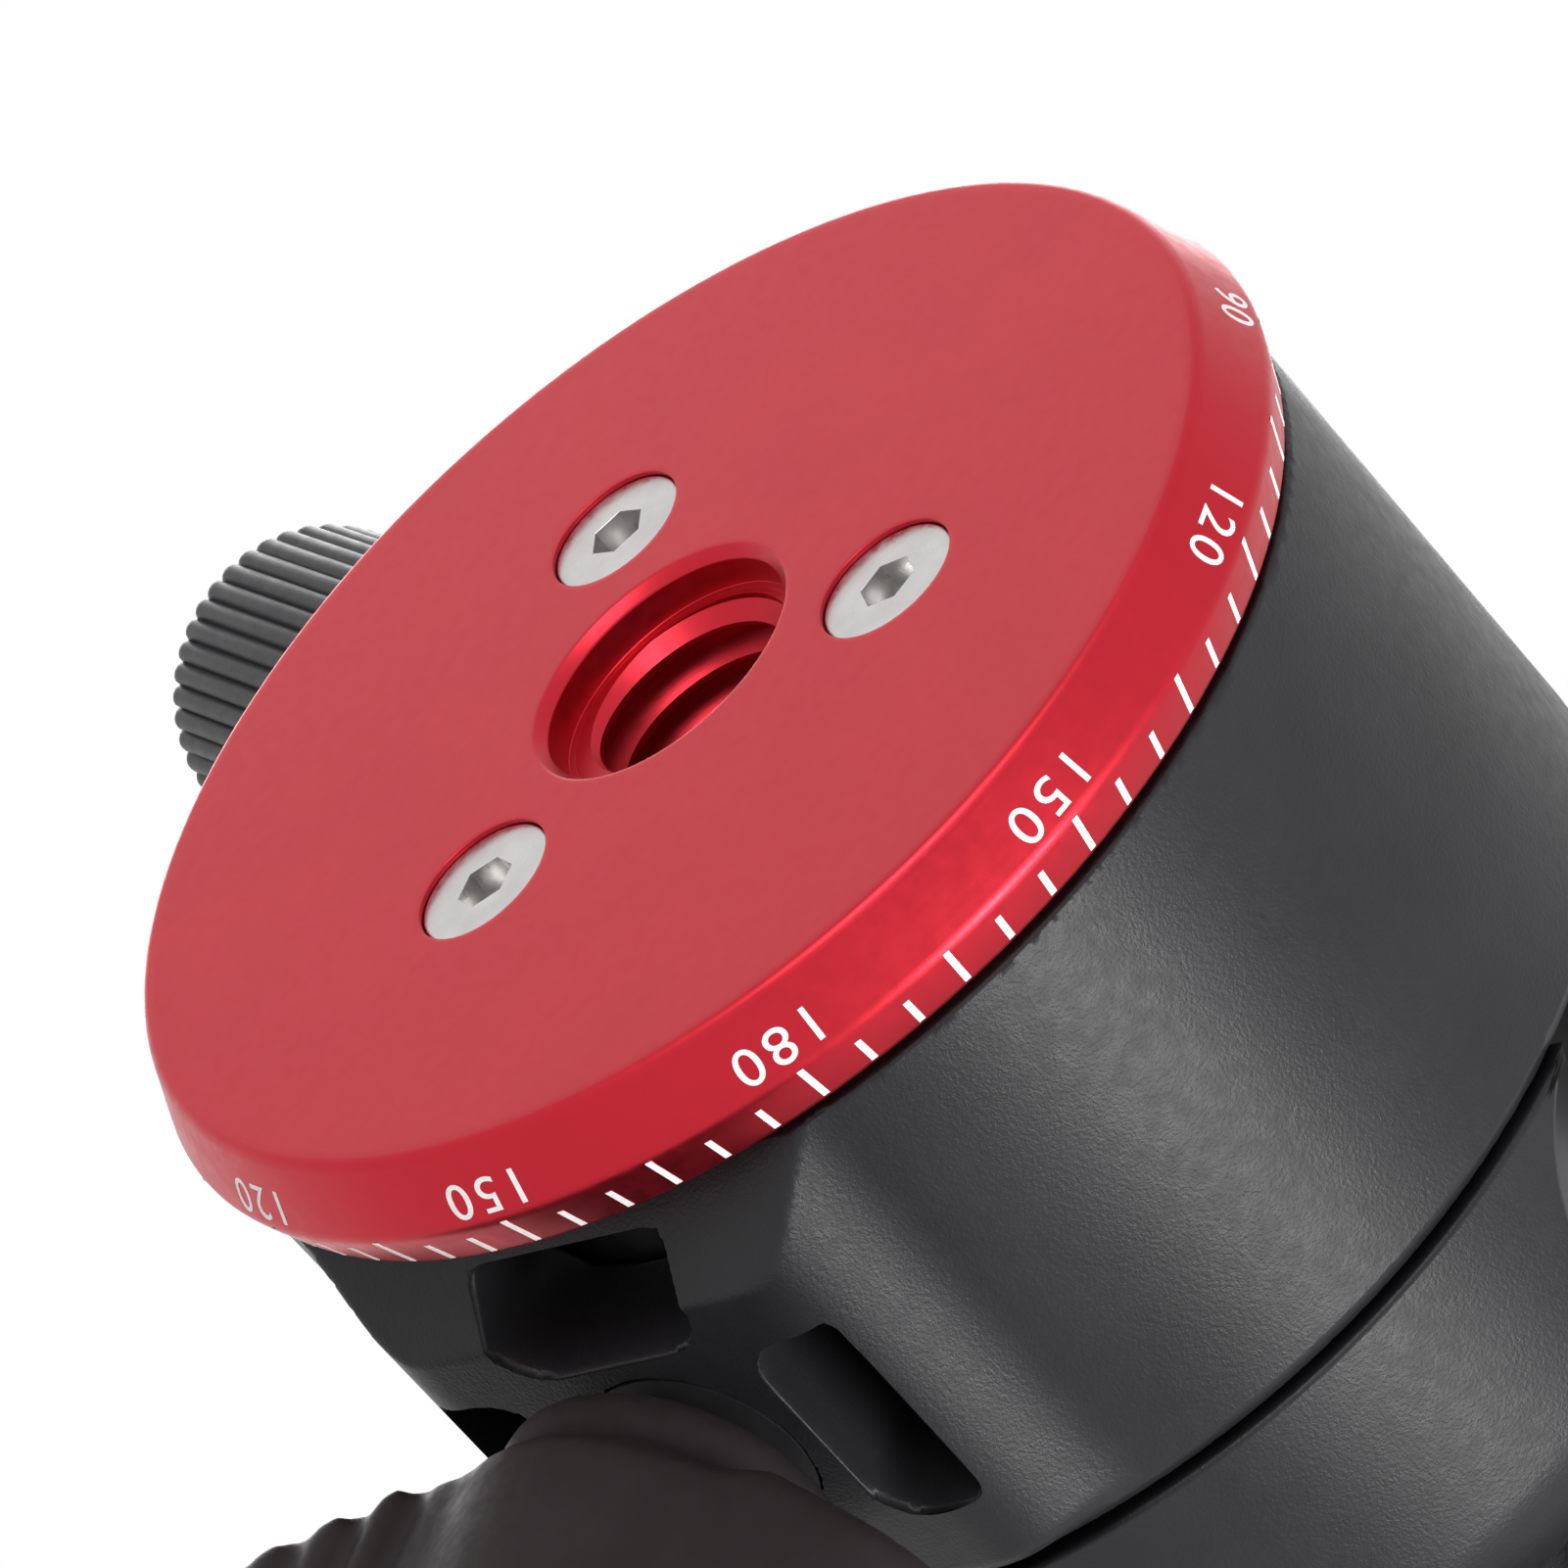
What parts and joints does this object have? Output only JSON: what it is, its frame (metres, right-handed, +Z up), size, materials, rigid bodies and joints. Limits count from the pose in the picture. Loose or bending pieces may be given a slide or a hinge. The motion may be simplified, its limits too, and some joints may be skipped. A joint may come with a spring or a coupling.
{
  "type": "tripod ball head",
  "caption": "Compact tripod ball head with a scaled panning base, winged ball lock, ridged pan lock, drop notch and a screw clamp with a quick-release plate.",
  "frame": {"origin": "centre of the flat mounting face under the panning base", "axes": "+Z up the pan axis, +X along the axis of the main lock knob, outwards"},
  "size_m": [0.0694, 0.0666, 0.085],
  "materials": {
    "red_base": "satin red anodised, lathe turned",
    "bright_screws": "satin stainless steel",
    "inner_steel": "machined steel",
    "slide_washer": "low-friction plastic",
    "black_casing": "finely textured black coating on aluminium",
    "seat_plastic": "black acetal",
    "dark_screw": "black oxide steel",
    "brass_fitting": "turned brass",
    "main_grip": "matte black moulded grip",
    "grip_cap": "satin black cap",
    "inner_black": "black anodised",
    "ridged_knob": "black anodised, ridged",
    "ball_finish": "dark hard anodised, polished",
    "stem_steel": "black anodised",
    "clamp_black": "satin black anodised",
    "level_rim": "satin steel",
    "level_liquid": "clear green liquid",
    "pin_steel": "ground steel",
    "plate_black": "satin black anodised",
    "pad_rubber": "fine-ribbed rubber",
    "camera_steel": "stainless steel"
  },
  "bodies": {
    "base": {"base_disc": "red_base", "spindle_screws": "bright_screws", "pan_spindle": "inner_steel", "lower_washer": "slide_washer", "upper_washer": "slide_washer"},
    "housing": {"housing": "black_casing", "upper_collar": "black_casing", "upper_seat": "seat_plastic", "collar_grub": "dark_screw", "lock_bushing": "brass_fitting"},
    "lock_shoe": {"lock_shoe": "inner_steel"},
    "main_knob": {"main_knob": "main_grip", "lock_screw": "dark_screw", "knob_cap": "grip_cap"},
    "lift_ring": {"lift_ring": "inner_black"},
    "pan_pad": {"pan_pad": "brass_fitting"},
    "pan_knob": {"pan_knob": "ridged_knob", "pan_screw": "dark_screw"},
    "seat_cup": {"seat_cup": "seat_plastic"},
    "ball": {"ball": "ball_finish"},
    "stem": {"stem": "stem_steel", "fixing_screw": "bright_screws", "clamp_body": "clamp_black", "level_bezel": "level_rim", "level_vial": "level_liquid", "guide_pins": "pin_steel"},
    "moving_jaw": {"moving_jaw": "clamp_black", "jaw_springs": "pin_steel"},
    "clamp_knob": {"clamp_knob": "ridged_knob", "clamp_screw": "dark_screw"},
    "qr_plate": {"qr_plate": "plate_black", "plate_pads": "pad_rubber"},
    "screw_clip": {"screw_clip": "pin_steel"},
    "camera_screw": {"camera_screw": "camera_steel"}
  },
  "joints": [
    {"name": "pan", "type": "hinge", "parent": "base", "child": "housing", "pos_m": [0, 0, 0], "axis": [0, 0, 1], "continuous": true},
    {"name": "lock_wedge", "type": "slide", "parent": "housing", "child": "lock_shoe", "axis": [1, 0, 0], "range_m": [0, 0.00125]},
    {"name": "main_lock", "type": "hinge", "parent": "lock_shoe", "child": "main_knob", "pos_m": [0, 0, 0.0167], "axis": [1, 0, 0], "range_deg": [0, 360]},
    {"name": "ring_lift", "type": "slide", "parent": "housing", "child": "lift_ring", "axis": [0, 0, 1], "range_m": [-0.000626, 0]},
    {"name": "pad_press", "type": "slide", "parent": "housing", "child": "pan_pad", "axis": [-0.4695, 0.8829, 0], "range_m": [0, 0.001]},
    {"name": "pan_lock", "type": "hinge", "parent": "pan_pad", "child": "pan_knob", "pos_m": [0, 0, 0.0122], "axis": [-0.4695, 0.8829, 0], "range_deg": [0, 360]},
    {"name": "side_tilt", "type": "hinge", "parent": "housing", "child": "seat_cup", "pos_m": [0, 0, 0.0336], "axis": [0, 1, 0], "range_deg": [-30, 30]},
    {"name": "drop_tilt", "type": "hinge", "parent": "seat_cup", "child": "ball", "pos_m": [0, 0, 0.0336], "axis": [1, 0, 0], "range_deg": [-30, 90]},
    {"name": "ball_spin", "type": "hinge", "parent": "ball", "child": "stem", "pos_m": [0, 0, 0.0336], "axis": [0, 0, 1], "continuous": true},
    {"name": "jaw_open", "type": "slide", "parent": "stem", "child": "moving_jaw", "axis": [1, 0, 0], "range_m": [0, 0.0024]},
    {"name": "clamp_lock", "type": "hinge", "parent": "moving_jaw", "child": "clamp_knob", "pos_m": [0, 0, 0.0663], "axis": [1, 0, 0], "range_deg": [0, 1080]},
    {"name": "plate_slide", "type": "slide", "parent": "stem", "child": "qr_plate", "axis": [0, 1, 0], "range_m": [0, 0.045]},
    {"name": "screw_shift", "type": "slide", "parent": "qr_plate", "child": "screw_clip", "axis": [0, 1, 0], "range_m": [-0.005, 0.005]},
    {"name": "camera_screw_turn", "type": "hinge", "parent": "screw_clip", "child": "camera_screw", "pos_m": [0, 0, 0.072], "axis": [0, 0, 1], "continuous": true}
  ],
  "couplings": [
    {"joint": "main_lock", "follows": "lock_wedge", "rad_per_m": 5026.5},
    {"joint": "ring_lift", "follows": "lock_wedge", "ratio": -0.5},
    {"joint": "pan_lock", "follows": "pad_press", "rad_per_m": 6283.2},
    {"joint": "clamp_lock", "follows": "jaw_open", "rad_per_m": 7854}
  ]
}
